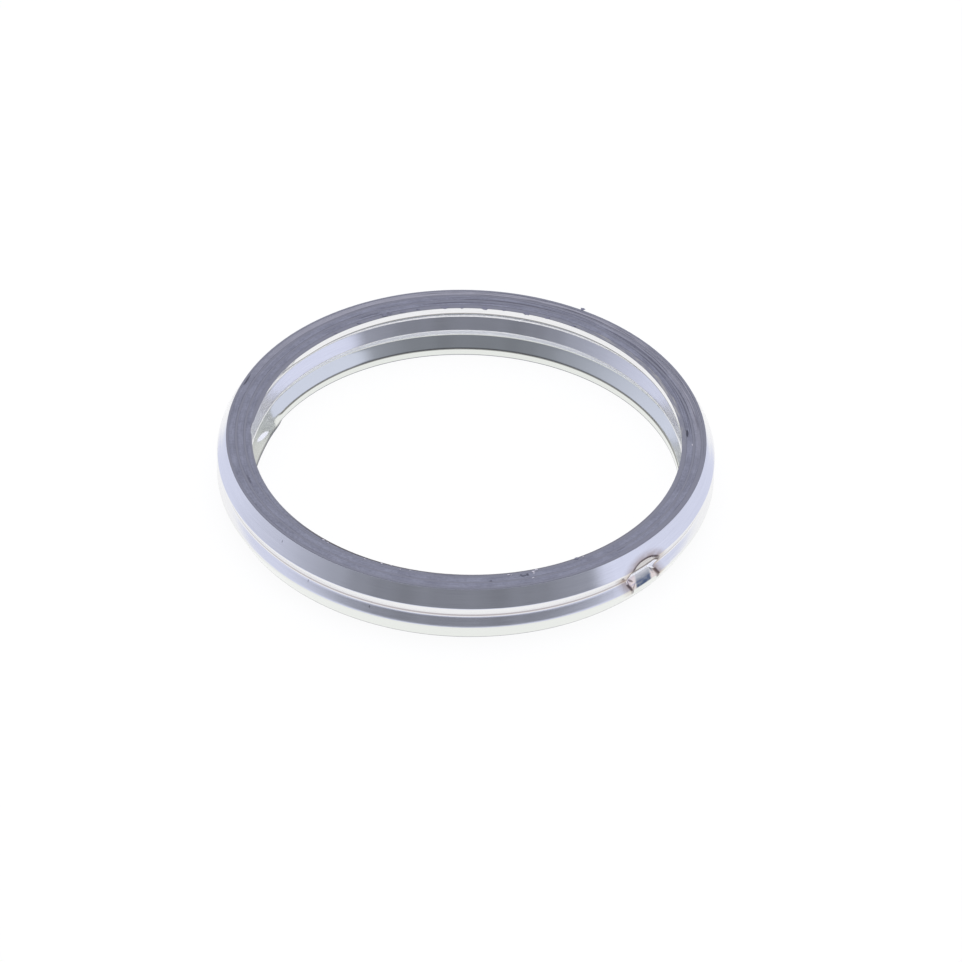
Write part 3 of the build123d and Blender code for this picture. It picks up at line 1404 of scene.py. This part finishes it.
@dataclass(frozen=True)
class LooseGraphite:
    """The surface of a loose crumb of graphite."""

    name: str
    tone: Colour
    metallic: float = 0.1
    roughness: float = 0.5

    def make(self) -> bpy.types.Material:
        """Builds the material."""
        inputs = {"Base Color": (*self.tone, 1), "Metallic": self.metallic, "Roughness": self.roughness}
        return Nodes(self.name).surface(inputs)


# The studio


@dataclass
class Studio:
    """A white tent with a pale floor, dim on the camera's side; lengths are in millimetres."""

    # The camera, with the place of the sealing face's middle in the photograph, in pixels
    face_height: float = 5.4
    elevation: float = 38.85
    roll: float = 1.45
    distance: float = 660.0
    photo_width: float = 962.0
    pixels_per_mm: float = 11.36
    face_centre_x: float = 466.36
    face_centre_y: float = 435.5
    sensor: float = 36.0
    clip_start: float = 10.0
    clip_end: float = 20000.0

    # The floor and the card, with angles from straight ahead of the camera
    floor_size: float = 3000.0
    paper: Colour = (0.9, 0.9, 0.9)
    paper_glow: float = 0.93
    white: Colour = (1.0, 1.0, 1.0)
    far_tone: Colour = (0.72, 0.75, 0.91)
    dim_tone: Colour = (0.208, 0.218, 0.252)
    white_reach: float = 27.0
    white_fade: float = 2.5
    dim_reach: float = 35.0
    dim_fade: float = 35.0
    front: float = -90.0
    dim_left: float = 113.0
    dim_right: float = 62.0
    soft_left: float = 88.0
    soft_right: float = 8.0
    lit_right: float = 40.0
    lit_share: float = 0.2
    dimness: float = 0.73
    uneven: float = 0.45
    unevenness: Grain = Grain((4.0, 1.0, 1.0), 1.5)
    card_reach: float = 500.0
    card_low: float = 1.0
    card_high: float = 800.0
    card_steps: int = 72

    # The light
    tent_tone: Colour = (0.75, 0.78, 0.95)
    tent_strength: float = 1.0
    lamp_place: tuple[float, float, float] = (0.0, 250.0, 1100.0)
    lamp_size: float = 900.0
    lamp_power: float = 7.0
    lamp_tone: Colour = (1.0, 0.99, 0.97)

    def camera(self) -> None:
        """Places the camera at the photograph's angle."""
        data = bpy.data.cameras.new("camera")
        camera = bpy.data.objects.new("camera", data)
        bpy.context.scene.collection.objects.link(camera)
        rise = radians(self.elevation)
        back = Vector((0, -cos(rise), sin(rise)))
        tilt = Matrix.Rotation(radians(self.roll), 3, back)
        up = tilt @ Vector((0, sin(rise), cos(rise)))
        right = tilt @ Vector((1, 0, 0))
        half = self.photo_width / 2
        aim = Vector((0, 0, self.face_height))
        aim += right * (half - self.face_centre_x) / self.pixels_per_mm
        aim -= up * (half - self.face_centre_y) / self.pixels_per_mm
        place = aim + back * self.distance
        turn = Matrix((right, up, back)).transposed().to_4x4()
        camera.matrix_world = Matrix.Translation(place * MM) @ turn
        data.sensor_width = self.sensor
        data.lens = self.sensor * self.distance * self.pixels_per_mm / self.photo_width
        data.clip_start = self.clip_start * MM
        data.clip_end = self.clip_end * MM
        bpy.context.scene.camera = camera

    def floor(self) -> None:
        """Lays a pale floor that shows white and keeps the ring's shadow. In reflections it glows as a
        painted room: white near the ring, lilac further out and dim on the camera's side.
        """
        work = bmesh.new()
        bmesh.ops.create_grid(work, x_segments=1, y_segments=1, size=self.floor_size / 2)
        floor = finish_mesh(work, "floor")
        nodes = Nodes("pale_floor")
        place = Place(nodes)
        seen = nodes.add("ShaderNodeLightPath", output="Is Camera Ray")
        mirrored = nodes.add("ShaderNodeLightPath", output="Is Glossy Ray")
        paper = nodes.add("ShaderNodeBsdfDiffuse", inputs={"Color": (*self.paper, 1)})
        # Painted reflections: seen in the steel, the floor glows white near the ring, lilac further out and
        # dim on the camera's side
        far = place.around.ramp(self.white_reach, self.white_reach + self.white_fade)
        dim = self.sector(nodes, place) * place.around.ramp(self.dim_reach, self.dim_reach + self.dim_fade)
        tone = nodes.mix(far * mirrored, self.white, self.far_tone)
        tone = nodes.mix(dim * mirrored, tone, self.dim_tone)
        glow = nodes.add("ShaderNodeEmission", inputs={"Color": tone, "Strength": 1.0})
        share = seen * self.paper_glow + mirrored
        shown = nodes.add("ShaderNodeMixShader", inputs={0: share, 1: paper, 2: glow})
        nodes.add("ShaderNodeOutputMaterial", inputs={0: shown})
        dress(floor, nodes.material)

    def sector(self, nodes: Nodes, place: Place) -> Shade:
        """How dim the room is in a direction.

        Args:
            nodes: the material's node tree.
            place: where the shaded point is.

        Returns:
            Up to 1 on the camera's side, and 0 elsewhere.
        """
        turned = nodes.math("ARCTAN2", place.x, place.y * -1.0)
        first, last = radians(-self.dim_left), radians(self.dim_right)
        dim = turned.ramp(first, first + radians(self.soft_left))
        dim *= 1 - turned.ramp(last - radians(self.soft_right), last)
        dim *= 1 - turned.ramp(last - radians(self.lit_right), last) * self.lit_share
        return dim * (nodes.noise(self.unevenness, turned, 0.0, 0.0) * self.uneven + self.dimness)

    def card(self) -> None:
        """Bends a glowing card round the camera's side that only reflections see, where it paints the
        room's dim front.
        """
        work = bmesh.new()
        start = radians(self.front - self.dim_left)
        foot = Vector((self.card_reach * cos(start), self.card_reach * sin(start), 0))
        ends = [work.verts.new(foot + Vector((0, 0, height))) for height in (self.card_low, self.card_high)]
        work.edges.new(ends)
        spin(work, Vector((0, 0, 0)), self.dim_left + self.dim_right, self.card_steps)
        card = finish_mesh(work, "dim_front")
        nodes = Nodes("dim_front")
        colour = nodes.mix(self.sector(nodes, Place(nodes)), self.far_tone, self.dim_tone)
        glow = nodes.add("ShaderNodeEmission", inputs={"Color": colour, "Strength": 1.0})
        nodes.add("ShaderNodeOutputMaterial", inputs={0: glow})
        dress(card, nodes.material)
        card.visible_camera = False
        card.visible_shadow = False
        card.visible_diffuse = False

    def world(self) -> None:
        """Sets an even pale world."""
        world = bpy.data.worlds.new("tent")
        world.use_nodes = True
        bpy.context.scene.world = world
        back = world.node_tree.nodes["Background"]
        back.inputs["Color"].default_value = (*self.tent_tone, 1)
        back.inputs["Strength"].default_value = self.tent_strength

    def lamp(self) -> None:
        """Hangs a square soft light over the ring."""
        data = bpy.data.lights.new("top_light", "AREA")
        data.size = self.lamp_size * MM
        data.energy = self.lamp_power
        data.color = self.lamp_tone
        lamp = bpy.data.objects.new("top_light", data)
        bpy.context.scene.collection.objects.link(lamp)
        place = Vector(self.lamp_place) * MM
        lamp.matrix_world = Matrix.Translation(place) @ place.to_track_quat("Z", "Y").to_matrix().to_4x4()
        lamp.visible_camera = False

    def build(self) -> None:
        """Sets camera, floor, world, card and lamp."""
        self.camera()
        self.floor()
        self.world()
        self.card()
        self.lamp()
        bpy.context.scene.view_settings.view_transform = "Standard"


def main() -> None:
    """Builds the gasket and its studio."""
    logging.basicConfig(level=logging.INFO, format="%(message)s")
    seed_set(SEED)
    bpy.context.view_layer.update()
    winding = Winding()
    weld = Weld(winding)
    strip = SteelStrip(winding, weld)
    steel = strip.build()
    dress(steel, RolledSteel().make(strip))
    tape = GraphiteTape(winding, weld).build()
    dress(tape, RubbedGraphite().make(winding))
    face = winding.profile.height
    pale = Crumbs("pale_crumbs", PALE_CRUMBS, face).build()
    dress(pale, LooseGraphite("pale_crumb", PALE_CRUMB).make())
    dark = Crumbs("dark_crumbs", DARK_CRUMBS, face, stretch=0.75).build()
    dress(dark, LooseGraphite("dark_crumb", DARK_CRUMB).make())
    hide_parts("steel_winding")
    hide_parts("graphite_filler")
    for piece, slot in ((steel, "steel_strip"), (tape, "graphite"), (pale, "graphite"), (dark, "graphite")):
        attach(piece, "root")
        log.info("%s: %d faces", piece.name, len(piece.data.polygons))
    Studio().build()


if __name__ == "__main__":
    main()
